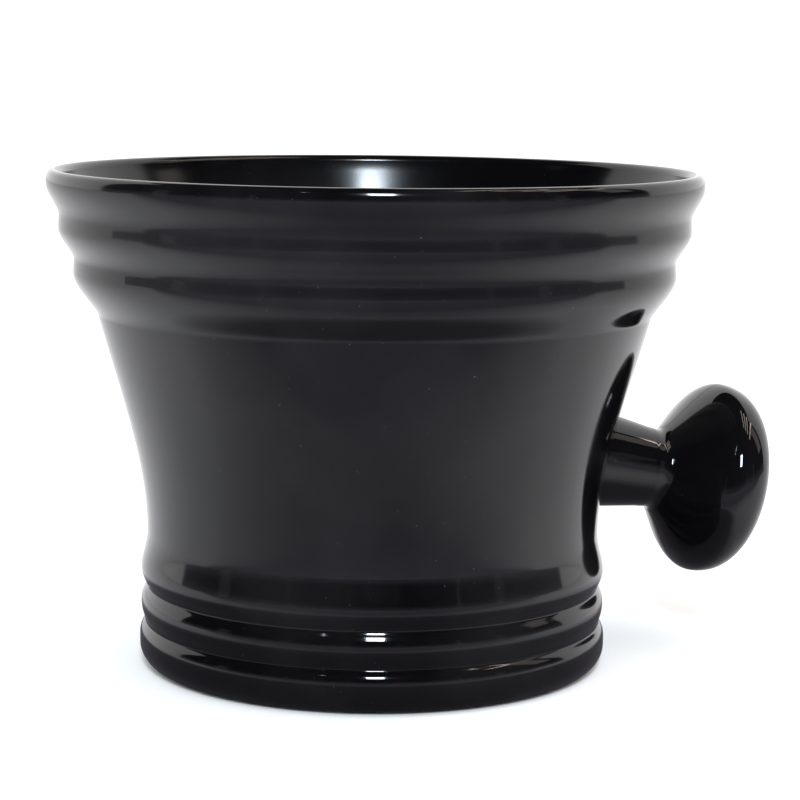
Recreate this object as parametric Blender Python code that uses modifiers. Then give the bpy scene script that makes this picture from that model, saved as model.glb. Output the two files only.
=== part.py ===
"""Shaving mug: a turned-style plastic bowl with a knob handle glued to its side.

Frame: metres, +Z up. The bowl's axis is Z, its foot stands on z = 0 and the handle points along +X.
The pieces are the bowl, the handle's stem half, the knob's cover half and the adhesive in the socket.
"""
import math

import bpy

MM = 0.001

# --- Bowl: driving dimensions -------------------------------------------------------------------
HEIGHT = 74.8 * MM
RIM_RADIUS = 49.0 * MM
RIM_BEAD = 1.15 * MM                # radius of the rounded lip, half the wall's thickness there
LIP_WIDEST = 72.9 * MM
UPPER_NECK = (47.15 * MM, 68.3 * MM)     # outer wall points are (radius, height)
UPPER_CREST = (47.2 * MM, 66.1 * MM)
UPPER_STEP = (44.97 * MM, 61.6 * MM)
LOWER_CREST = (45.07 * MM, 59.5 * MM)
WALL_TOP = (41.45 * MM, 53.2 * MM)
WAIST = (34.2 * MM, 20.3 * MM)
WAIST_PULL = 10.0 * MM              # how far the waist's curve runs upright before it flares
WALL_TOP_PULL = 12.0 * MM
WALL_TOP_SLOPE = 0.28               # radius gained for each unit of height at the wall's top
RING_1_CREST = (35.12 * MM, 14.9 * MM)
RING_1_VALLEY = (34.35 * MM, 12.15 * MM)
RING_2_CREST = (35.15 * MM, 9.5 * MM)
RING_2_VALLEY = (34.55 * MM, 6.7 * MM)
FLANGE_RADIUS = 35.4 * MM
FLANGE_TOP = 4.4 * MM
FOOT_ROUND = 3.3 * MM
FLOOR_THICKNESS = 3.0 * MM
FLOOR_CORNER = 8.0 * MM
INNER_BOTTOM = (31.5 * MM, 20.0 * MM)
INNER_CORNER_RADIUS = 31.2 * MM
INNER_TOP_SLOPE = 0.25
INNER_TOP_PULL = 18.0 * MM
INNER_BOTTOM_PULL = 18.0 * MM

# --- Handle: driving dimensions, measured along its own axis from the bowl's wall -----------------
ATTACH = (35.4 * MM, 0.0, 29.66 * MM)
DROOP = math.radians(11.4)
STEM_ROOT_RADIUS = 7.95 * MM
STEM_NECK_RADIUS = 6.38 * MM
NECK = 8.8 * MM
FLARE_END = (6.8 * MM, 12.1 * MM)        # handle points are (radius, distance along the axis)
FLARE_PULL = 1.4 * MM
KNOB_RADIUS = 15.0 * MM
KNOB_WIDEST = 20.3 * MM
KNOB_END = 27.55 * MM
BACK_ANGLE = math.radians(44.0)     # the knob's back face leans this far off square to the axis
BACK_PULL = 3.8 * MM
BACK_RIM_PULL = 2.95 * MM
DOME_SIDE_PULL = 4.45 * MM
DOME_FACE_PULL = 11.4 * MM
KNOB_WALL = 2.2 * MM
SEAM = 0.0                          # the seam's plane, off the handle's axis
COVER_START = 11.4 * MM             # the stem is whole up to here, then only its tube goes on
CORE_RADIUS = 6.0 * MM              # the stem's tube inside the knob
CORE_END = 17.5 * MM
BORE_RADIUS = 4.0 * MM
BORE_END = 14.0 * MM
SPIGOT_RADIUS = 3.0 * MM
SPIGOT_BURIED = -1.5 * MM
SPIGOT_END = 12.0 * MM
ADHESIVE_INNER = 3.3 * MM
ADHESIVE_OUTER = 3.7 * MM
ADHESIVE_START = 1.6 * MM
ADHESIVE_END = 11.4 * MM
RIB_THICKNESS = 2.0 * MM
RIB_INSET = 1.0 * MM
POST_OFFSET = 9.6 * MM              # locating posts, above and below the axis
SOCKET_POST_RADIUS = 2.2 * MM
SOCKET_RADIUS = 1.3 * MM
SOCKET_DEPTH = 2.6 * MM
PEG_POST_RADIUS = 1.7 * MM
PEG_RADIUS = 1.0 * MM
PEG_LENGTH = 2.2 * MM
POST_END = 9.0 * MM                 # the posts end inside each shell's wall, this far off the axis

GAP = 0.3 * MM                      # clearance between neighbouring pieces
MERGE = 0.00001
BOWL_STEPS = 64
HANDLE_STEPS = 40
SMALL_STEPS = 24

GLOSS_BLACK = (0.012, 0.012, 0.014, 1.0)
GLUE_CLEAR = (0.75, 0.72, 0.62, 1.0)


# --- Scene helpers --------------------------------------------------------------------------------
def clear_scene():
    for item in list(bpy.data.objects):
        bpy.data.objects.remove(item, do_unlink=True)


def new_collection(name):
    made = bpy.data.collections.new(name)
    bpy.context.scene.collection.children.link(made)
    return made


def material(name, colour, roughness, metallic=0.0):
    made = bpy.data.materials.new(name)
    made.use_nodes = True
    shader = made.node_tree.nodes["Principled BSDF"]
    shader.inputs["Base Color"].default_value = colour
    shader.inputs["Roughness"].default_value = roughness
    shader.inputs["Metallic"].default_value = metallic
    return made


def bezier(start, pull_start, pull_end, end, steps, skip_first=True):
    """Points along a cubic curve; each point is (radius, height)."""
    points = []
    for i in range(1 if skip_first else 0, steps + 1):
        t = i / steps
        weights = ((1 - t) ** 3, 3 * t * (1 - t) ** 2, 3 * t * t * (1 - t), t ** 3)
        corners = (start, pull_start, pull_end, end)
        points.append(tuple(sum(w * c[k] for w, c in zip(weights, corners)) for k in (0, 1)))
    return points


def arc(centre, radius, first, last, steps, skip_first=False):
    """Points on a circle's arc; the angles are in degrees."""
    points = []
    for i in range(1 if skip_first else 0, steps + 1):
        angle = math.radians(first + (last - first) * i / steps)
        points.append((centre[0] + radius * math.cos(angle), centre[1] + radius * math.sin(angle)))
    return points


def turned(name, points, steps, collection, parent=None):
    """A solid of revolution about the local Z axis, from an open profile that ends on the axis."""
    mesh = bpy.data.meshes.new(name)
    edges = [(i, i + 1) for i in range(len(points) - 1)]
    mesh.from_pydata([(radius, 0.0, height) for radius, height in points], edges, [])
    made = bpy.data.objects.new(name, mesh)
    collection.objects.link(made)
    made.parent = parent
    screw = made.modifiers.new("turn", "SCREW")
    screw.axis = "Z"
    screw.angle = math.tau
    screw.steps = steps
    screw.render_steps = steps
    screw.use_merge_vertices = True
    screw.merge_threshold = MERGE
    screw.use_smooth_shade = True
    return made


def cylinder(name, radius, start, end, place, collection, parent, steps=SMALL_STEPS, across=False):
    """A cylinder from start to end: along the local Z axis, or along Y when across is set."""
    turn = (math.radians(-90.0), 0.0, 0.0) if across else (0.0, 0.0, 0.0)
    middle = 0.5 * (start + end)
    centre = (place[0], middle, place[1]) if across else (place[0], place[1], middle)
    bpy.ops.mesh.primitive_cylinder_add(vertices=steps, radius=radius, depth=end - start,
                                        location=centre, rotation=turn)
    return adopt(name, collection, parent)


def box(name, low, high, collection, parent):
    bpy.ops.mesh.primitive_cube_add(size=1.0)
    made = adopt(name, collection, parent)
    made.location = [0.5 * (a + b) for a, b in zip(low, high)]
    made.scale = [b - a for a, b in zip(low, high)]
    return made


def adopt(name, collection, parent):
    """Name the object just added and move it to its collection and parent."""
    made = bpy.context.object
    made.name = name
    made.data.name = name
    for owner in list(made.users_collection):
        owner.objects.unlink(made)
    collection.objects.link(made)
    made.parent = parent
    return made


def hide(cutter):
    cutter.hide_render = True
    cutter.display_type = "WIRE"
    return cutter


def combine(target, tool, operation):
    step = target.modifiers.new(tool.name, "BOOLEAN")
    step.object = hide(tool)
    step.operation = operation
    step.solver = "EXACT"


def finish(made, surface):
    """Give a finished piece its material and close the small gaps its cuts leave."""
    made.data.materials.append(surface)
    weld = made.modifiers.new("weld", "WELD")
    weld.merge_threshold = MERGE


# --- Profiles -------------------------------------------------------------------------------------
def wall_curve(steps, offset=0.0):
    """The plain wall between the ring bands, from its top down to the waist."""
    top = (WALL_TOP[0] + offset, WALL_TOP[1])
    top_pull = (top[0] - WALL_TOP_SLOPE * WALL_TOP_PULL, top[1] - WALL_TOP_PULL)
    waist = (WAIST[0] + offset, WAIST[1])
    return bezier(top, top_pull, (waist[0], waist[1] + WAIST_PULL), waist, steps)


def outer_wall():
    """The bowl's outside from the top of the lip down to the foot's flat."""
    top = (RIM_RADIUS - RIM_BEAD, HEIGHT)
    lip = (RIM_RADIUS, LIP_WIDEST)
    foot_centre = (FLANGE_RADIUS - FOOT_ROUND, FOOT_ROUND)
    points = bezier(top, (top[0] + 0.75 * MM, top[1]), (lip[0], lip[1] + 1.3 * MM), lip, 4)
    points += bezier(lip, (lip[0], lip[1] - 1.7 * MM),
                     (UPPER_NECK[0] + 0.15 * MM, UPPER_NECK[1] + 1.3 * MM), UPPER_NECK, 5)
    points.append(UPPER_CREST)
    points += bezier(UPPER_CREST, (UPPER_CREST[0], UPPER_CREST[1] - 1.5 * MM),
                     (UPPER_STEP[0], UPPER_STEP[1] + 1.1 * MM), UPPER_STEP, 5)
    points.append(LOWER_CREST)
    points += bezier(LOWER_CREST, (LOWER_CREST[0], LOWER_CREST[1] - 2.1 * MM),
                     (WALL_TOP[0] + 0.2 * MM, WALL_TOP[1] + 1.2 * MM), WALL_TOP, 6)
    points += wall_curve(9)
    points += bezier(WAIST, (WAIST[0], WAIST[1] - 1.9 * MM),
                     (RING_1_CREST[0], RING_1_CREST[1] + 1.3 * MM), RING_1_CREST, 5)
    points += bezier(RING_1_CREST, (RING_1_CREST[0], RING_1_CREST[1] - 1.4 * MM),
                     (RING_1_VALLEY[0], RING_1_VALLEY[1] + 0.65 * MM), RING_1_VALLEY, 4)
    points += bezier(RING_1_VALLEY, (RING_1_VALLEY[0], RING_1_VALLEY[1] - 0.45 * MM),
                     (RING_2_CREST[0], RING_2_CREST[1] + 1.65 * MM), RING_2_CREST, 4)
    points += bezier(RING_2_CREST, (RING_2_CREST[0], RING_2_CREST[1] - 1.3 * MM),
                     (RING_2_VALLEY[0] + 0.05 * MM, RING_2_VALLEY[1] + 0.7 * MM), RING_2_VALLEY, 4)
    points += bezier(RING_2_VALLEY, (RING_2_VALLEY[0] + 0.05 * MM, RING_2_VALLEY[1] - 0.45 * MM),
                     (FLANGE_RADIUS, FLANGE_TOP + 1.7 * MM), (FLANGE_RADIUS, FLANGE_TOP), 4)
    points += arc(foot_centre, FOOT_ROUND, 0.0, -90.0, 5)
    return points


def bowl_profile():
    """The bowl's whole section: floor, inner wall, lip, outer wall and flat foot."""
    corner = (INNER_CORNER_RADIUS - FLOOR_CORNER, FLOOR_THICKNESS + FLOOR_CORNER)
    lip_inner = (RIM_RADIUS - 2.0 * RIM_BEAD, HEIGHT - RIM_BEAD)
    inner_pull = (lip_inner[0] - INNER_TOP_SLOPE * INNER_TOP_PULL, lip_inner[1] - INNER_TOP_PULL)
    points = [(0.0, FLOOR_THICKNESS)]
    points += arc(corner, FLOOR_CORNER, -90.0, 0.0, 5)
    points += bezier(INNER_BOTTOM, (INNER_BOTTOM[0], INNER_BOTTOM[1] + INNER_BOTTOM_PULL),
                     inner_pull, lip_inner, 8, skip_first=False)
    points += arc((RIM_RADIUS - RIM_BEAD, HEIGHT - RIM_BEAD), RIM_BEAD, 180.0, 90.0, 3, skip_first=True)
    points += outer_wall()
    points.append((0.0, 0.0))
    return points


def dome_and_back(inset=0.0):
    """The knob's outline from the end of its dome, round the rim, to the top of the stem's flare."""
    end = (0.0, KNOB_END - inset)
    rim = (KNOB_RADIUS - inset, KNOB_WIDEST)
    foot = (FLARE_END[0] - inset * math.sin(BACK_ANGLE), FLARE_END[1] + inset * math.cos(BACK_ANGLE))
    back_pull = (foot[0] + BACK_PULL * math.cos(BACK_ANGLE), foot[1] + BACK_PULL * math.sin(BACK_ANGLE))
    points = bezier(end, (DOME_FACE_PULL, end[1]), (rim[0], rim[1] + DOME_SIDE_PULL - inset), rim,
                    9, skip_first=False)
    points += bezier(rim, (rim[0], rim[1] - BACK_RIM_PULL), back_pull, foot, 6)
    return points


def stem_half_profile():
    """The handle's outline with the stem flaring into the knob; its root runs into the bowl's wall."""
    flare_pull = (FLARE_END[0] - FLARE_PULL * math.cos(BACK_ANGLE),
                  FLARE_END[1] - FLARE_PULL * math.sin(BACK_ANGLE))
    points = dome_and_back()
    points += bezier(FLARE_END, flare_pull, (STEM_NECK_RADIUS, NECK + FLARE_PULL),
                     (STEM_NECK_RADIUS, NECK), 4)
    points.append((STEM_ROOT_RADIUS, -1.0 * MM))
    points.append((0.0, -1.0 * MM))
    return points


def cover_profile():
    """The same knob with its back face running straight in to the axis, with no flare."""
    points = dome_and_back()
    points.append((0.0, FLARE_END[1] - FLARE_END[0] * math.tan(BACK_ANGLE)))
    return points


def cavity_profile():
    """The knob's hollow, one wall's thickness inside its outline."""
    points = dome_and_back(KNOB_WALL)
    points.append((0.0, points[-1][1]))
    return points


# --- Pieces ---------------------------------------------------------------------------------------
def make_bowl(parts, cutters, handle):
    bowl = turned("bowl", bowl_profile(), BOWL_STEPS, parts)
    spigot = cylinder("cut_spigot", SPIGOT_RADIUS, SPIGOT_BURIED, SPIGOT_END, (0.0, 0.0), cutters, handle)
    combine(bowl, spigot, "UNION")
    finish(bowl, material("bowl_gloss", GLOSS_BLACK, 0.12))


def make_stem_half(parts, cutters, handle):
    """The stem with the knob shell on the seam's near side, stiffened by a rib, with two sockets."""
    half = turned("handle_stem_half", stem_half_profile(), HANDLE_STEPS, parts, handle)
    combine(half, turned("cut_near_cavity", cavity_profile(), HANDLE_STEPS, cutters, handle), "DIFFERENCE")
    reach = 2.0 * KNOB_RADIUS
    beyond = box("cut_beyond_seam", (-reach, SEAM, COVER_START), (reach, reach, reach), cutters, handle)
    combine(half, beyond, "DIFFERENCE")
    core = cylinder("cut_core", CORE_RADIUS, COVER_START - 2.0 * MM, CORE_END, (0.0, 0.0), cutters, handle,
                    HANDLE_STEPS)
    combine(half, core, "UNION")
    combine(half, make_rib(cutters, handle), "UNION")
    for name, side in (("upper", -1.0), ("lower", 1.0)):
        place = (side * POST_OFFSET, KNOB_WIDEST)
        post = cylinder("cut_socket_post_" + name, SOCKET_POST_RADIUS, -POST_END, SEAM,
                        place, cutters, handle, across=True)
        combine(half, post, "UNION")
        hole = cylinder("cut_socket_" + name, SOCKET_RADIUS, SEAM - SOCKET_DEPTH, SEAM + GAP,
                        place, cutters, handle, across=True)
        combine(half, hole, "DIFFERENCE")
    bore = cylinder("cut_bore", BORE_RADIUS, -2.0 * MM, BORE_END, (0.0, 0.0), cutters, handle)
    combine(half, bore, "DIFFERENCE")
    combine(half, make_wall_cutter(cutters), "DIFFERENCE")
    finish(half, material("handle_gloss", GLOSS_BLACK, 0.08))


def make_rib(cutters, handle):
    """A web on the handle's axis that ties the stem's tube to the near shell."""
    inside = turned("cut_rib_outline", dome_and_back(RIB_INSET) + [(0.0, FLARE_END[1] + RIB_INSET)],
                    HANDLE_STEPS, cutters, handle)
    rib = box("cut_rib", (-0.5 * RIB_THICKNESS, -KNOB_RADIUS, COVER_START),
              (0.5 * RIB_THICKNESS, SEAM - GAP, KNOB_END), cutters, handle)
    combine(rib, inside, "INTERSECT")
    return rib


def make_wall_cutter(cutters):
    """The bowl's wall grown by the gap, which shapes the stem's root to the bowl."""
    top = (WALL_TOP[0] + GAP, WALL_TOP[1])
    points = [(0.0, top[1]), top] + wall_curve(9, GAP) + [(0.0, WAIST[1])]
    return turned("cut_wall", points, BOWL_STEPS, cutters)


def make_cover_half(parts, cutters, handle):
    """The knob's other shell, with a hole for the stem and two pegs that enter the sockets."""
    cover = turned("knob_cover_half", cover_profile(), HANDLE_STEPS, parts, handle)
    combine(cover, turned("cut_far_cavity", cavity_profile(), HANDLE_STEPS, cutters, handle), "DIFFERENCE")
    reach = 2.0 * KNOB_RADIUS
    before = box("cut_before_seam", (-reach, -reach, -reach), (reach, SEAM + GAP, reach), cutters, handle)
    combine(cover, before, "DIFFERENCE")
    hole = cylinder("cut_stem_hole", CORE_RADIUS + GAP, 0.0, CORE_END + GAP, (0.0, 0.0), cutters, handle)
    combine(cover, hole, "DIFFERENCE")
    for name, side in (("upper", -1.0), ("lower", 1.0)):
        place = (side * POST_OFFSET, KNOB_WIDEST)
        post = cylinder("cut_peg_post_" + name, PEG_POST_RADIUS, SEAM + GAP, POST_END, place,
                        cutters, handle, across=True)
        combine(cover, post, "UNION")
        peg = cylinder("cut_peg_" + name, PEG_RADIUS, SEAM - PEG_LENGTH, SEAM + PEG_LENGTH, place,
                       cutters, handle, across=True)
        combine(cover, peg, "UNION")
    finish(cover, material("cover_gloss", GLOSS_BLACK, 0.08))


def make_adhesive(parts, cutters, handle):
    """Cured adhesive: a thin sleeve between the bowl's spigot and the stem's bore."""
    sleeve = cylinder("socket_adhesive", ADHESIVE_OUTER, ADHESIVE_START, ADHESIVE_END, (0.0, 0.0),
                      parts, handle)
    core = cylinder("cut_adhesive_core", ADHESIVE_INNER, 0.0, SPIGOT_END, (0.0, 0.0), cutters, handle)
    combine(sleeve, core, "DIFFERENCE")
    finish(sleeve, material("adhesive_clear", GLUE_CLEAR, 0.35))


def make_handle_axis(collection):
    """An empty at the wall whose Z axis runs out along the handle."""
    handle = bpy.data.objects.new("handle_axis", None)
    handle.location = ATTACH
    handle.rotation_euler = (0.0, math.radians(90.0) + DROOP, 0.0)
    collection.objects.link(handle)
    return handle


def main():
    clear_scene()
    parts = new_collection("shaving_mug")
    cutters = new_collection("cutters")
    handle = make_handle_axis(parts)
    make_bowl(parts, cutters, handle)
    make_stem_half(parts, cutters, handle)
    make_cover_half(parts, cutters, handle)
    make_adhesive(parts, cutters, handle)


main()
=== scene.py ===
"""Looks for the shaving mug: fine glossy mouldings, the table it stands on and soft studio light.

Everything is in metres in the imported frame: bowl's axis on Z, foot on z = 0, handle along +X.
The bowl's outline and the handle's outline repeat the design's driving dimensions.
"""
import math

import bmesh
import bpy
from mathutils import Euler, Matrix, Vector


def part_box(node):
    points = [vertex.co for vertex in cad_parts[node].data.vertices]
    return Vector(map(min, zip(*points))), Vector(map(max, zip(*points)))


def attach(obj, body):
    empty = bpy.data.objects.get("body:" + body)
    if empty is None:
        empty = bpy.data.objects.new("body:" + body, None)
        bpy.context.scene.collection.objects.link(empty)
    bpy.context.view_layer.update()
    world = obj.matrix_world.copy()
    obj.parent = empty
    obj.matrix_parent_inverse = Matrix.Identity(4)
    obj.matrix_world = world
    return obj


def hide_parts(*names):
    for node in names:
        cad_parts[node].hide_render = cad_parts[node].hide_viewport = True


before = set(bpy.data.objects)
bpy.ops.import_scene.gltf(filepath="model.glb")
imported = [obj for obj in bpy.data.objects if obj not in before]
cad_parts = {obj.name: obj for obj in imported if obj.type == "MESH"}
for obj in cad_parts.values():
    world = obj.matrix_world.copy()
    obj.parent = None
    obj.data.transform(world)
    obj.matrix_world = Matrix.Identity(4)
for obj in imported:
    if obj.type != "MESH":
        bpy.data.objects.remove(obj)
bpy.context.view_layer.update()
BOWL_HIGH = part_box("bowl")[1]
MM = 0.001

# --- Bowl outline: points are (radius, height) ----------------------------------------------------
HEIGHT = BOWL_HIGH.z
RIM_RADIUS = BOWL_HIGH.y
RIM_BEAD = 1.15 * MM
LIP_WIDEST = 72.9 * MM
UPPER_NECK = (47.15 * MM, 68.3 * MM)
UPPER_CREST = (47.2 * MM, 66.1 * MM)
UPPER_STEP = (44.97 * MM, 61.6 * MM)
LOWER_CREST = (45.07 * MM, 59.5 * MM)
WALL_TOP = (41.45 * MM, 53.2 * MM)
WAIST = (34.2 * MM, 20.3 * MM)
WAIST_PULL = 10.0 * MM
WALL_TOP_PULL = 12.0 * MM
WALL_TOP_SLOPE = 0.28
RING_1_CREST = (35.12 * MM, 14.9 * MM)
RING_1_VALLEY = (34.35 * MM, 12.15 * MM)
RING_2_CREST = (35.15 * MM, 9.5 * MM)
RING_2_VALLEY = (34.55 * MM, 6.7 * MM)
FLANGE_RADIUS = 35.4 * MM
FLANGE_TOP = 4.4 * MM
FOOT_ROUND = 3.3 * MM
FLOOR_THICKNESS = 3.0 * MM
FLOOR_CORNER = 8.0 * MM
INNER_BOTTOM = (31.5 * MM, 20.0 * MM)
INNER_CORNER_RADIUS = 31.2 * MM
INNER_TOP_SLOPE = 0.25
INNER_PULL = 18.0 * MM
MARK_RADII = (3.0 * MM, 28.0 * MM)       # moulding marks sunk in the underside
MARK_WIDTH = 0.6 * MM
MARK_DEPTH = 0.15 * MM
WALL_STEPS = 40
# Curves down the outside: pull away from the start, pull back from the end, end and steps, in mm.
LIP_CURVE = ((0.75, 0.0), (0.0, 1.3), (RIM_RADIUS, LIP_WIDEST), 14)
UPPER_CURVES = (
    ((0.0, -1.7), (0.15, 1.3), UPPER_NECK, 18),
    ((-0.03, -0.6), (0.0, 0.6), UPPER_CREST, 8),
    ((0.0, -1.5), (0.0, 1.1), UPPER_STEP, 20),
    ((0.0, -0.6), (0.0, 0.6), LOWER_CREST, 8),
    ((0.0, -2.1), (0.2, 1.2), WALL_TOP, 22))
FOOT_CURVES = (
    ((0.0, -1.9), (0.0, 1.3), RING_1_CREST, 16),
    ((0.0, -1.4), (0.0, 0.65), RING_1_VALLEY, 14),
    ((0.0, -0.45), (0.0, 1.65), RING_2_CREST, 14),
    ((0.0, -1.3), (0.05, 0.7), RING_2_VALLEY, 14),
    ((0.05, -0.45), (0.0, 1.7), (FLANGE_RADIUS, FLANGE_TOP), 14))

# --- Handle outline: points are (radius, distance along its axis from the wall) --------------------
ATTACH = Vector((35.4 * MM, 0.0, 29.66 * MM))
DROOP = math.radians(11.4)
STEM_ROOT_RADIUS = 7.95 * MM
STEM_NECK_RADIUS = 6.38 * MM
NECK = 8.8 * MM
FLARE_END = (6.8 * MM, 12.1 * MM)
FLARE_PULL = 1.4 * MM
KNOB_RADIUS = 15.0 * MM
KNOB_WIDEST = 20.3 * MM
KNOB_END = 27.55 * MM
BACK_ANGLE = math.radians(44.0)
BACK_PULL = 3.8 * MM
BACK_RIM_PULL = 2.95 * MM
DOME_SIDE_PULL = 4.45 * MM
DOME_FACE_PULL = 11.4 * MM
KNOB_WALL = 2.2 * MM
SEAM = 0.0
SEAM_GAP = 0.14 * MM
ROOT_GAP = 0.2 * MM
COVER_START = 11.75 * MM
CORE_RADIUS = 6.2 * MM
CORE_END = 17.5 * MM
BORE_RADIUS = 4.0 * MM
BORE_END = 14.0 * MM
SPIGOT_RADIUS = 3.0 * MM
SPIGOT_BURIED = -1.5 * MM
SPIGOT_END = 12.0 * MM
ROOT_RUN = 1.0 * MM                      # the uncut stem runs this far into the wall
TOOL_RUN = 2.0 * MM                      # cutting tools run this far past what they cut

BOWL_SEGMENTS = 384
HANDLE_SEGMENTS = 160
SMALL_SEGMENTS = 64
MERGE = 0.001 * MM
BOWL_CREASE = 50                         # degrees
HANDLE_CREASE = 32

# --- Finish: colours are linear, waves are per metre ------------------------------------------------
PLASTIC_CLEAN = (0.0020, 0.0019, 0.0022, 1.0)
PLASTIC_FILM = (0.0080, 0.0073, 0.0078, 1.0)
PLASTIC_DUST = (0.04, 0.04, 0.04, 1.0)
PLASTIC_SPECULAR = 0.4
PLASTIC_IOR = 1.5
SMUDGE_WAVES = 60.0
FILM_WAVES = 42.0
DUST_WAVES = 2600.0
SWELL_WAVES = 45.0
GRAIN_WAVES = 900.0
GRAIN_HEIGHT = 0.002 * MM
DRAG_STRETCH = (1.0, 1.0, 0.04)          # drag lines run along the handle
INWARD = (-12.0 * MM, -4.0 * MM)         # radius times outward normal on the inner wall, full and none
ADHESIVE_CLEAR = (0.62, 0.58, 0.46, 1.0)
ADHESIVE_CLOUD = (0.82, 0.80, 0.72, 1.0)
ADHESIVE_WAVES = 700.0
ADHESIVE_HEIGHT = 0.05 * MM

# --- Camera: measured off the bowl's axis ----------------------------------------------------------
CAMERA_TURN = math.radians(-18.0)        # the view is turned this far off square to the handle
CAMERA_DISTANCE = 376.9 * MM
CAMERA_HEIGHT = 93.9 * MM
CAMERA_TILT = math.radians(8.14)
CAMERA_YAW = math.radians(-0.60)
CAMERA_ROLL = math.radians(0.60)
CAMERA_LENS = 113.04

# --- Stage ----------------------------------------------------------------------------------------
WORLD_STRENGTH = 1.35
FLOOR_RADIUS = 6.0
FLOOR_COLOUR = (0.9, 0.9, 0.9)
FLOOR_ROUGHNESS = 0.9
CARD_FADE = (-28.0 * MM, -88.0 * MM)     # the painted shade of the dimmer table in front fades in from beside the mug to the front
CARD_FAINT = 0.26                        # what is left of the card beside and behind the mug
# painted shade: the grey of the dimmer table in front, mirrored by the gloss only
CARD_SHADE_GREY = (0.246, 0.230, 0.266, 1.0)
PAINTED_MUG_SHADOW = (0.12, 0.112, 0.126, 1.0)
SHADOW_RADII = (46.0 * MM, 92.0 * MM)    # the mug's painted shadow on the card fades between these
MUG_SHADE_RADII = (58.0 * MM, 80.0 * MM)     # round the mug the card's cover, a painted shadow, fades between these
HANDLE_SHADE = (26.0 * MM, 76.0 * MM)    # the handle's painted shadow fades between these, off the knob's centre
HANDLE_SHADOW_ALPHA = 0.62
CARD_REACH = 3.0
CARD_LIFT = 0.3 * MM
SCREEN_BLACK = (0.004, 0.004, 0.005, 1.0)
SCREEN_GREY = (0.0, 0.24)                # heights where the screen is the card's grey and where it is black
SCREEN_ELEVATIONS = (0.0, 10.0, 20.0, 30.0, 40.0, 48.0, 60.0, 75.0)
SCREEN_STEPS = 72
SCREEN_SPAN = 104.0                      # degrees each way from the camera's side
BACKDROP_TOP = 48.0                      # behind the mug the screen starts at this elevation
SCREEN_DISTANCE = 1.6
ORANGE = (1.0, 0.40, 0.16)
GREY = (0.90, 0.95, 1.0)
WARM = (1.0, 0.86, 0.72)
# Lamps: name, azimuth, elevation, distance, size (across, high), power and colour.
WINDOWS = (
    ("window", 2.0, 35.0, 1.2, (0.16, 0.28), 10.0, (0.78, 0.89, 1.0)),
    ("small_window", -27.0, 42.0, 1.2, (0.02, 0.05), 0.05, (0.85, 0.93, 1.0)))
DOOR_POSTS = tuple(("door_post", azimuth, 9.0, 1.4, (width, 0.42), power, colour)
                   for azimuth, width, power, colour in (
                       (-76.0, 0.16, 0.045, GREY), (-41.0, 0.025, 0.012, GREY),
                       (-11.0, 0.05, 0.005, ORANGE), (12.0, 0.05, 0.005, ORANGE),
                       (42.0, 0.025, 0.012, GREY), (64.0, 0.12, 0.03, GREY)))
CEILING_STRIPS = tuple(("ceiling", 88.0, elevation, 1.3, (0.60, 0.035), 0.7, WARM)
                       for elevation in (45.0, 54.0, 62.0, 71.0))
WARM_WALL = ("warm_wall", 93.0, 31.0, 1.3, (0.26, 0.55), 0.45, (1.0, 0.90, 0.82))


# --- Mesh helpers ---------------------------------------------------------------------------------
def bezier(start, pull_start, pull_end, end, steps, skip_first=True):
    """Points along a cubic curve; each point is (radius, height)."""
    points = []
    for i in range(1 if skip_first else 0, steps + 1):
        t = i / steps
        weights = ((1 - t) ** 3, 3 * t * (1 - t) ** 2, 3 * t * t * (1 - t), t ** 3)
        corners = (start, pull_start, pull_end, end)
        points.append(tuple(sum(w * c[k] for w, c in zip(weights, corners)) for k in (0, 1)))
    return points


def follow(start, curves):
    """Points along cubic curves joined end to end; each gives its pulls in mm, its end and its steps."""
    points = []
    for away, back, end, steps in curves:
        pull_start = (start[0] + away[0] * MM, start[1] + away[1] * MM)
        pull_end = (end[0] + back[0] * MM, end[1] + back[1] * MM)
        points += bezier(start, pull_start, pull_end, end, steps)
        start = end
    return points


def arc(centre, radius, first, last, steps, skip_first=False):
    """Points on a circle's arc; the angles are in degrees."""
    points = []
    for i in range(1 if skip_first else 0, steps + 1):
        angle = math.radians(first + (last - first) * i / steps)
        points.append((centre[0] + radius * math.cos(angle), centre[1] + radius * math.sin(angle)))
    return points


def link_mesh(name, bm):
    """Turn a bmesh into an object in the scene, faces outwards."""
    bmesh.ops.recalc_face_normals(bm, faces=bm.faces[:])
    mesh = bpy.data.meshes.new(name)
    bm.to_mesh(mesh)
    bm.free()
    made = bpy.data.objects.new(name, mesh)
    bpy.context.scene.collection.objects.link(made)
    return made


def lathe(name, points, segments, place=Matrix.Identity(4)):
    """A closed solid of revolution about the placed Z axis; the outline starts and ends on it."""
    bm = bmesh.new()
    rows = []
    for radius, height in points:
        if radius < MERGE:
            rows.append([bm.verts.new(place @ Vector((0.0, 0.0, height)))])
            continue
        row = []
        for i in range(segments):
            angle = math.tau * i / segments
            row.append(bm.verts.new(place @ Vector((radius * math.cos(angle), radius * math.sin(angle),
                                                    height))))
        rows.append(row)
    for upper, lower in zip(rows, rows[1:]):
        for i in range(segments):
            j = (i + 1) % segments
            corners = [upper[i % len(upper)], upper[j % len(upper)],
                       lower[j % len(lower)], lower[i % len(lower)]]
            bm.faces.new(list(dict.fromkeys(corners)))
    return link_mesh(name, bm)


def block(name, low, high, place):
    """A box between two corners, moved by the placement."""
    bm = bmesh.new()
    size = [b - a for a, b in zip(low, high)]
    middle = Vector([0.5 * (a + b) for a, b in zip(low, high)])
    shape = Matrix.Translation(middle) @ Matrix.Diagonal((*size, 1.0))
    bmesh.ops.create_cube(bm, size=1.0, matrix=place @ shape)
    return link_mesh(name, bm)


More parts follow.
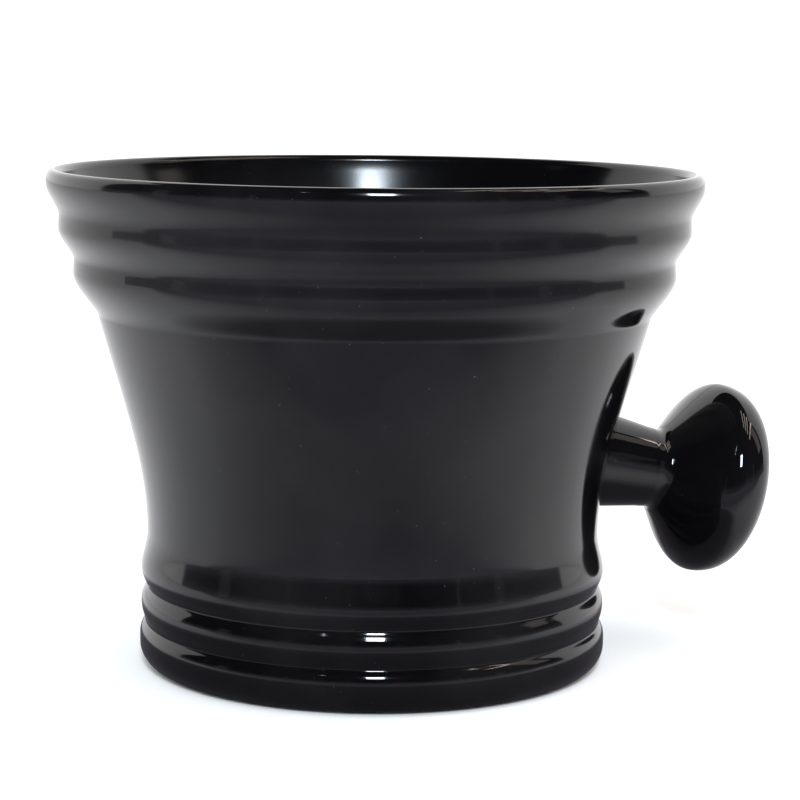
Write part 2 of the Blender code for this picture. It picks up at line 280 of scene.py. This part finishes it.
def combined(target, steps):
    """The target with each (tool, operation) applied by an exact Boolean; the tools are removed."""
    for tool, operation in steps:
        step = target.modifiers.new(tool.name, "BOOLEAN")
        step.object = tool
        step.operation = operation
        step.solver = "EXACT"
    graph = bpy.context.evaluated_depsgraph_get()
    target.data = bpy.data.meshes.new_from_object(target.evaluated_get(graph))
    target.modifiers.clear()
    for tool, _ in steps:
        bpy.data.objects.remove(tool, do_unlink=True)
    return target


def smooth(piece, angle):
    """Smooth shading, with edges sharper than the angle (in degrees) kept crisp."""
    piece.data.shade_smooth()
    piece.data.set_sharp_from_angle(angle=math.radians(angle))


# --- Outlines -------------------------------------------------------------------------------------
def wall_curve(steps, offset=0.0):
    """The plain wall between the ring bands, from its top down to the waist."""
    top = (WALL_TOP[0] + offset, WALL_TOP[1])
    top_pull = (top[0] - WALL_TOP_SLOPE * WALL_TOP_PULL, top[1] - WALL_TOP_PULL)
    waist = (WAIST[0] + offset, WAIST[1])
    return bezier(top, top_pull, (waist[0], waist[1] + WAIST_PULL), waist, steps)


def outer_wall():
    """The bowl's outside from the top of the lip down to the foot's flat."""
    foot_centre = (FLANGE_RADIUS - FOOT_ROUND, FOOT_ROUND)
    points = follow((RIM_RADIUS - RIM_BEAD, HEIGHT), (LIP_CURVE, *UPPER_CURVES))
    points += wall_curve(WALL_STEPS)
    points += follow(WAIST, FOOT_CURVES)
    points += arc(foot_centre, FOOT_ROUND, 0.0, -90.0, 16)
    return points


def underside():
    """The flat foot with shallow round marks, from its edge in to the axis."""
    points = []
    for radius in reversed(MARK_RADII):
        points += [(radius + MARK_WIDTH, 0.0), (radius + 0.7 * MARK_WIDTH, MARK_DEPTH),
                   (radius + 0.3 * MARK_WIDTH, MARK_DEPTH), (radius, 0.0)]
    points.append((0.0, 0.0))
    return points


def bowl_outline():
    corner = (INNER_CORNER_RADIUS - FLOOR_CORNER, FLOOR_THICKNESS + FLOOR_CORNER)
    lip_inner = (RIM_RADIUS - 2.0 * RIM_BEAD, HEIGHT - RIM_BEAD)
    inner_pull = (lip_inner[0] - INNER_TOP_SLOPE * INNER_PULL, lip_inner[1] - INNER_PULL)
    points = [(0.0, FLOOR_THICKNESS), (0.5 * corner[0], FLOOR_THICKNESS)]
    points += arc(corner, FLOOR_CORNER, -90.0, 0.0, 20)
    points += bezier(INNER_BOTTOM, (INNER_BOTTOM[0], INNER_BOTTOM[1] + INNER_PULL),
                     inner_pull, lip_inner, 36, skip_first=False)
    points += arc((RIM_RADIUS - RIM_BEAD, HEIGHT - RIM_BEAD), RIM_BEAD, 180.0, 90.0, 12, skip_first=True)
    return points + outer_wall() + underside()


def dome_and_back(inset=0.0):
    """The knob's outline from the end of its dome, round the rim, to the top of the stem's flare."""
    end = (0.0, KNOB_END - inset)
    rim = (KNOB_RADIUS - inset, KNOB_WIDEST)
    foot = (FLARE_END[0] - inset * math.sin(BACK_ANGLE), FLARE_END[1] + inset * math.cos(BACK_ANGLE))
    back_pull = (foot[0] + BACK_PULL * math.cos(BACK_ANGLE), foot[1] + BACK_PULL * math.sin(BACK_ANGLE))
    points = bezier(end, (DOME_FACE_PULL, end[1]), (rim[0], rim[1] + DOME_SIDE_PULL - inset), rim,
                    36, skip_first=False)
    points += bezier(rim, (rim[0], rim[1] - BACK_RIM_PULL), back_pull, foot, 20)
    return points


def stem_half_outline():
    """The handle's outline with the stem flaring into the knob; its root runs into the bowl's wall."""
    flare_pull = (FLARE_END[0] - FLARE_PULL * math.cos(BACK_ANGLE),
                  FLARE_END[1] - FLARE_PULL * math.sin(BACK_ANGLE))
    points = dome_and_back()
    points += bezier(FLARE_END, flare_pull, (STEM_NECK_RADIUS, NECK + FLARE_PULL),
                     (STEM_NECK_RADIUS, NECK), 12)
    return points + [(STEM_ROOT_RADIUS, -ROOT_RUN), (0.0, -ROOT_RUN)]


# --- Pieces ---------------------------------------------------------------------------------------
HANDLE_PLACE = Matrix.Translation(ATTACH) @ Matrix.Rotation(math.radians(90.0) + DROOP, 4, "Y")
KNOB_CENTRE = HANDLE_PLACE @ Vector((0.0, 0.0, KNOB_WIDEST))


def rod(name, radius, start, end):
    """A round bar on the handle's axis."""
    outline = [(0.0, end), (radius, end), (radius, start), (0.0, start)]
    return lathe(name, outline, SMALL_SEGMENTS, HANDLE_PLACE)


def make_bowl():
    bowl = lathe("bowl_body", bowl_outline(), BOWL_SEGMENTS)
    combined(bowl, [(rod("spigot", SPIGOT_RADIUS, SPIGOT_BURIED, SPIGOT_END), "UNION")])
    smooth(bowl, BOWL_CREASE)
    return bowl


def make_stem_half():
    half = lathe("stem_and_near_shell", stem_half_outline(), HANDLE_SEGMENTS, HANDLE_PLACE)
    reach = 2.0 * KNOB_RADIUS
    cavity = dome_and_back(KNOB_WALL)
    wall = [(0.0, WALL_TOP[1]), (WALL_TOP[0] + ROOT_GAP, WALL_TOP[1])]
    wall += wall_curve(WALL_STEPS, ROOT_GAP) + [(0.0, WAIST[1])]
    combined(half, [
        (lathe("near_cavity", cavity + [(0.0, cavity[-1][1])], SMALL_SEGMENTS, HANDLE_PLACE), "DIFFERENCE"),
        (block("beyond_seam", (-reach, SEAM, COVER_START), (reach, reach, reach), HANDLE_PLACE),
         "DIFFERENCE"),
        (rod("core", CORE_RADIUS, COVER_START - TOOL_RUN, CORE_END), "UNION"),
        (rod("bore", BORE_RADIUS, -TOOL_RUN, BORE_END), "DIFFERENCE"),
        (lathe("wall_cutter", wall, BOWL_SEGMENTS), "DIFFERENCE"),
    ])
    smooth(half, HANDLE_CREASE)
    return half


def make_cover_half():
    outline = dome_and_back() + [(0.0, FLARE_END[1] - FLARE_END[0] * math.tan(BACK_ANGLE))]
    cover = lathe("far_shell", outline, HANDLE_SEGMENTS, HANDLE_PLACE)
    reach = 2.0 * KNOB_RADIUS
    cavity = dome_and_back(KNOB_WALL)
    combined(cover, [
        (lathe("far_cavity", cavity + [(0.0, cavity[-1][1])], SMALL_SEGMENTS, HANDLE_PLACE), "DIFFERENCE"),
        (block("before_seam", (-reach, -reach, -reach), (reach, SEAM + SEAM_GAP, reach), HANDLE_PLACE),
         "DIFFERENCE"),
        (rod("stem_hole", CORE_RADIUS + SEAM_GAP, 0.0, CORE_END + SEAM_GAP), "DIFFERENCE"),
    ])
    smooth(cover, HANDLE_CREASE)
    return cover


# --- Materials ------------------------------------------------------------------------------------
class Nodes:
    """Small helper that adds nodes to a material and links them."""

    def __init__(self, name):
        self.material = bpy.data.materials.new(name)
        self.material.use_nodes = True
        self.tree = self.material.node_tree
        self.shader = self.tree.nodes["Principled BSDF"]

    def add(self, kind, **values):
        made = self.tree.nodes.new(kind)
        for key, value in values.items():
            setattr(made, key, value)
        return made

    def link(self, source, target):
        self.tree.links.new(source, target)


def set_shader(nodes, **values):
    """Set the shader's sockets; an underscore stands for a space in a socket's name."""
    for key, value in values.items():
        nodes.shader.inputs[key.replace("_", " ")].default_value = value


def noise(nodes, coordinates, scale, detail, stretch=(1.0, 1.0, 1.0), turn=(0.0, 0.0, 0.0)):
    """A noise texture over the piece, in waves per metre."""
    mapping = nodes.add("ShaderNodeMapping")
    mapping.inputs["Scale"].default_value = stretch
    mapping.inputs["Rotation"].default_value = turn
    nodes.link(coordinates, mapping.inputs["Vector"])
    texture = nodes.add("ShaderNodeTexNoise")
    texture.inputs["Scale"].default_value = scale
    texture.inputs["Detail"].default_value = detail
    nodes.link(mapping.outputs["Vector"], texture.inputs["Vector"])
    return texture.outputs["Fac"]


def spread(nodes, value, low_in, high_in, low_out, high_out):
    """The value mapped from one range to another and held inside it."""
    ramp = nodes.add("ShaderNodeMapRange")
    for key, number in zip(("From Min", "From Max", "To Min", "To Max"),
                           (low_in, high_in, low_out, high_out)):
        ramp.inputs[key].default_value = number
    nodes.link(value, ramp.inputs["Value"])
    return ramp.outputs["Result"]


def mixed(nodes, first, second, amount):
    """A colour between the two; the first may be a colour or a socket."""
    mix = nodes.add("ShaderNodeMixRGB")
    if isinstance(first, tuple):
        mix.inputs["Color1"].default_value = first
    else:
        nodes.link(first, mix.inputs["Color1"])
    mix.inputs["Color2"].default_value = second
    nodes.link(amount, mix.inputs["Fac"])
    return mix.outputs["Color"]


def bump(nodes, height, distance, normal=None):
    """A surface normal tilted by the height, on top of another bump if one is given."""
    made = nodes.add("ShaderNodeBump")
    made.inputs["Distance"].default_value = distance
    made.inputs["Strength"].default_value = 1.0
    nodes.link(height, made.inputs["Height"])
    if normal:
        nodes.link(normal, made.inputs["Normal"])
    return made.outputs["Normal"]


def inner_wall(nodes, texture, amount):
    """The amount on faces that look towards the Z axis, and nothing elsewhere."""
    level = nodes.add("ShaderNodeVectorMath", operation="MULTIPLY")
    level.inputs[1].default_value = (1.0, 1.0, 0.0)
    nodes.link(texture.outputs["Object"], level.inputs[0])
    facing = nodes.add("ShaderNodeVectorMath", operation="DOT_PRODUCT")
    nodes.link(level.outputs["Vector"], facing.inputs[0])
    nodes.link(texture.outputs["Normal"], facing.inputs[1])
    return spread(nodes, facing.outputs["Value"], *INWARD, amount, 0.0)


def gloss_plastic(name, gloss, smudge, wave, haze, wear=0.0, turn=(0.0, 0.0, 0.0), drag=0.0):
    """Black moulded plastic: thin film on a dark body, smudged gloss, faint waves, hairlines and dust."""
    nodes = Nodes(name)
    texture = nodes.add("ShaderNodeTexCoord")
    coordinates = texture.outputs["Object"]
    smudges = noise(nodes, coordinates, SMUDGE_WAVES, 4.0, turn=turn)
    roughness = spread(nodes, smudges, 0.35, 0.75, gloss, gloss + smudge)
    worn = nodes.add("ShaderNodeMath", operation="ADD")
    nodes.link(roughness, worn.inputs[0])
    nodes.link(inner_wall(nodes, texture, wear), worn.inputs[1])
    nodes.link(worn.outputs["Value"], nodes.shader.inputs["Roughness"])
    clouds = noise(nodes, coordinates, FILM_WAVES, 6.0, turn=turn)
    film = mixed(nodes, PLASTIC_CLEAN, PLASTIC_FILM, spread(nodes, clouds, 0.42, 0.72, 0.0, haze))
    dust = spread(nodes, noise(nodes, coordinates, DUST_WAVES, 1.0), 0.78, 0.82, 0.0, 1.0)
    colour = mixed(nodes, film, PLASTIC_DUST, dust)
    nodes.link(colour, nodes.shader.inputs["Base Color"])
    normal = bump(nodes, noise(nodes, coordinates, SWELL_WAVES, 1.0, turn=turn), wave)
    normal = bump(nodes, noise(nodes, coordinates, GRAIN_WAVES, 2.0), GRAIN_HEIGHT, normal)
    if drag:
        lines = noise(nodes, coordinates, GRAIN_WAVES, 3.0, stretch=DRAG_STRETCH, turn=turn)
        normal = bump(nodes, lines, drag, normal)
    nodes.link(normal, nodes.shader.inputs["Normal"])
    set_shader(nodes, Specular_IOR_Level=PLASTIC_SPECULAR, IOR=PLASTIC_IOR)
    return nodes.material


def cured_adhesive(name):
    """Slightly cloudy, slightly yellow cured adhesive."""
    nodes = Nodes(name)
    coordinates = nodes.add("ShaderNodeTexCoord").outputs["Object"]
    cloud = noise(nodes, coordinates, ADHESIVE_WAVES, 3.0)
    nodes.link(mixed(nodes, ADHESIVE_CLEAR, ADHESIVE_CLOUD, cloud), nodes.shader.inputs["Base Color"])
    nodes.link(spread(nodes, cloud, 0.2, 0.8, 0.25, 0.5), nodes.shader.inputs["Roughness"])
    nodes.link(bump(nodes, cloud, ADHESIVE_HEIGHT), nodes.shader.inputs["Normal"])
    return nodes.material


def distance_from(nodes, coordinates, point):
    """How far each spot is from the point."""
    apart = nodes.add("ShaderNodeVectorMath", operation="DISTANCE")
    apart.inputs[1].default_value = point
    nodes.link(coordinates, apart.inputs[0])
    return apart.outputs["Value"]


def larger(nodes, first, second):
    """The larger of two values at each spot."""
    most = nodes.add("ShaderNodeMath", operation="MAXIMUM")
    nodes.link(first, most.inputs[0])
    nodes.link(second, most.inputs[1])
    return most.outputs["Value"]


def plain(name, colour, roughness):
    """A flat finish for the table."""
    nodes = Nodes(name)
    set_shader(nodes, Base_Color=(*colour, 1.0), Roughness=roughness)
    return nodes.material


# --- Stage: azimuth 0 is the camera's side of the mug and grows towards the handle, in degrees ------
def toward(azimuth, elevation, distance):
    """The point that lies this way from the foot's centre."""
    a, e = math.radians(azimuth), math.radians(elevation)
    level = distance * math.cos(e)
    return Matrix.Rotation(CAMERA_TURN, 3, "Z") @ Vector((level * math.sin(a), -level * math.cos(a),
                                                          distance * math.sin(e)))


def reflected_only(card):
    """Let gloss mirror the card, and keep it out of the picture and the light."""
    card.visible_camera = False
    card.visible_diffuse = False
    card.visible_shadow = False


def make_floor():
    bm = bmesh.new()
    bmesh.ops.create_circle(bm, cap_ends=True, segments=SMALL_SEGMENTS, radius=FLOOR_RADIUS)
    floor = link_mesh("table_top", bm)
    floor.data.materials.append(plain("table_pale", FLOOR_COLOUR, FLOOR_ROUGHNESS))


def make_painted_table_shade():
    """Painted shade that only the gloss mirrors: the table's grey in front, with painted shadows near the
    mug and under its handle.
    """
    bm = bmesh.new()
    bmesh.ops.create_grid(bm, x_segments=1, y_segments=1, size=CARD_REACH)
    card = link_mesh("painted_shade_sheet", bm)
    card.location.z = CARD_LIFT
    nodes = Nodes("table_shade_paint")
    coordinates = nodes.add("ShaderNodeTexCoord").outputs["Object"]
    place = nodes.add("ShaderNodeSeparateXYZ")
    turned = nodes.add("ShaderNodeMapping", vector_type="TEXTURE")
    turned.inputs["Rotation"].default_value = (0.0, 0.0, CAMERA_TURN)
    nodes.link(coordinates, turned.inputs["Vector"])
    nodes.link(turned.outputs["Vector"], place.inputs["Vector"])
    # painted shade: the card covers the table in front and fades out beside the mug
    front = spread(nodes, place.outputs["Y"], CARD_FADE[1], CARD_FADE[0], 1.0, CARD_FAINT)
    # painted shadow under the handle
    under = spread(nodes, distance_from(nodes, coordinates, KNOB_CENTRE), *HANDLE_SHADE, HANDLE_SHADOW_ALPHA, 0.0)
    # painted shadow of the mug: near its foot the card is fully there and darker
    from_axis = distance_from(nodes, coordinates, (0.0, 0.0, 0.0))
    near = spread(nodes, from_axis, *MUG_SHADE_RADII, 1.0, 0.0)
    cover = larger(nodes, front, larger(nodes, under, near))
    nodes.link(cover, nodes.shader.inputs["Alpha"])
    shade = spread(nodes, from_axis, *SHADOW_RADII, 1.0, 0.0)
    nodes.link(mixed(nodes, CARD_SHADE_GREY, PAINTED_MUG_SHADOW, shade), nodes.shader.inputs["Base Color"])
    set_shader(nodes, Roughness=1.0, Specular_IOR_Level=0.0)
    card.data.materials.append(nodes.material)
    reflected_only(card)


def make_screen():
    """A dark curved screen overhead and round the camera's side: the unlit room the gloss mirrors."""
    bm = bmesh.new()
    step = 360.0 / SCREEN_STEPS
    rows = []
    for elevation in SCREEN_ELEVATIONS:
        rows.append([bm.verts.new(toward(step * i, elevation, SCREEN_DISTANCE))
                     for i in range(SCREEN_STEPS)])
    for low, lower, upper in zip(SCREEN_ELEVATIONS, rows, rows[1:]):
        for i in range(SCREEN_STEPS):
            behind = SCREEN_SPAN < step * (i + 0.5) < 360.0 - SCREEN_SPAN
            if behind and low < BACKDROP_TOP:
                continue
            j = (i + 1) % SCREEN_STEPS
            bm.faces.new((lower[i], lower[j], upper[j], upper[i]))
    bm.faces.new(rows[-1])
    screen = link_mesh("dark_screen", bm)
    nodes = Nodes("screen_black")
    place = nodes.add("ShaderNodeSeparateXYZ")
    nodes.link(nodes.add("ShaderNodeTexCoord").outputs["Object"], place.inputs["Vector"])
    height = spread(nodes, place.outputs["Z"], *SCREEN_GREY, 0.0, 1.0)
    nodes.link(mixed(nodes, CARD_SHADE_GREY, SCREEN_BLACK, height), nodes.shader.inputs["Base Color"])
    set_shader(nodes, Roughness=1.0, Specular_IOR_Level=0.0)
    screen.data.materials.append(nodes.material)
    reflected_only(screen)


def lamp(name, azimuth, elevation, distance, size, power, colour):
    """A rectangular light aimed at the mug; size is (across, high)."""
    data = bpy.data.lights.new(name, "AREA")
    data.shape = "RECTANGLE"
    data.size, data.size_y = size
    data.energy = power
    data.color = colour
    light = bpy.data.objects.new(name, data)
    light.location = toward(azimuth, elevation, distance)
    aim = Vector((0.0, 0.0, 0.5 * HEIGHT))
    light.rotation_euler = (aim - light.location).to_track_quat("-Z", "Y").to_euler()
    bpy.context.scene.collection.objects.link(light)


def make_world():
    world = bpy.data.worlds.new("white_room")
    bpy.context.scene.world = world
    world.use_nodes = True
    world.node_tree.nodes["Background"].inputs["Color"].default_value = (1.0, 1.0, 1.0, 1.0)
    world.node_tree.nodes["Background"].inputs["Strength"].default_value = WORLD_STRENGTH


def make_camera():
    data = bpy.data.cameras.new("camera")
    data.lens = CAMERA_LENS
    data.sensor_width = 36.0
    data.clip_start = 0.01
    camera = bpy.data.objects.new("camera", data)
    spot = Matrix.Rotation(CAMERA_TURN, 4, "Z") @ Vector((0.0, -CAMERA_DISTANCE, CAMERA_HEIGHT))
    camera.matrix_world = (Matrix.Translation(spot)
                           @ Matrix.Rotation(CAMERA_TURN + CAMERA_YAW, 4, "Z")
                           @ Matrix.Rotation(math.radians(90.0) - CAMERA_TILT, 4, "X")
                           @ Matrix.Rotation(CAMERA_ROLL, 4, "Z"))
    bpy.context.scene.collection.objects.link(camera)
    bpy.context.scene.camera = camera


def place_piece(piece, node, surface):
    """Give the piece its surface and let it stand in for its CAD node."""
    piece.data.materials.clear()
    piece.data.materials.append(surface)
    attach(piece, "root")
    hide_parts(node)


def main():
    make_camera()
    make_world()
    make_floor()
    make_screen()
    make_painted_table_shade()
    for values in (*WINDOWS, *DOOR_POSTS, *CEILING_STRIPS, WARM_WALL):
        lamp(*values)
    handle_turn = tuple(Euler((0.0, -(math.radians(90.0) + DROOP), 0.0)))
    bowl_finish = gloss_plastic("bowl_black_gloss", 0.05, 0.09, 0.00004, 1.0, wear=0.09)
    handle_finish = gloss_plastic("handle_black_gloss", 0.03, 0.03, 0.00001, 0.3, turn=handle_turn,
                                  drag=0.000004)
    place_piece(make_bowl(), "bowl", bowl_finish)
    place_piece(make_stem_half(), "handle_stem_half", handle_finish)
    place_piece(make_cover_half(), "knob_cover_half", handle_finish)
    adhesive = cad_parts["socket_adhesive"]
    adhesive.data.materials.clear()
    adhesive.data.materials.append(cured_adhesive("adhesive_clear"))
    bpy.context.scene.view_settings.view_transform = "Standard"


main()
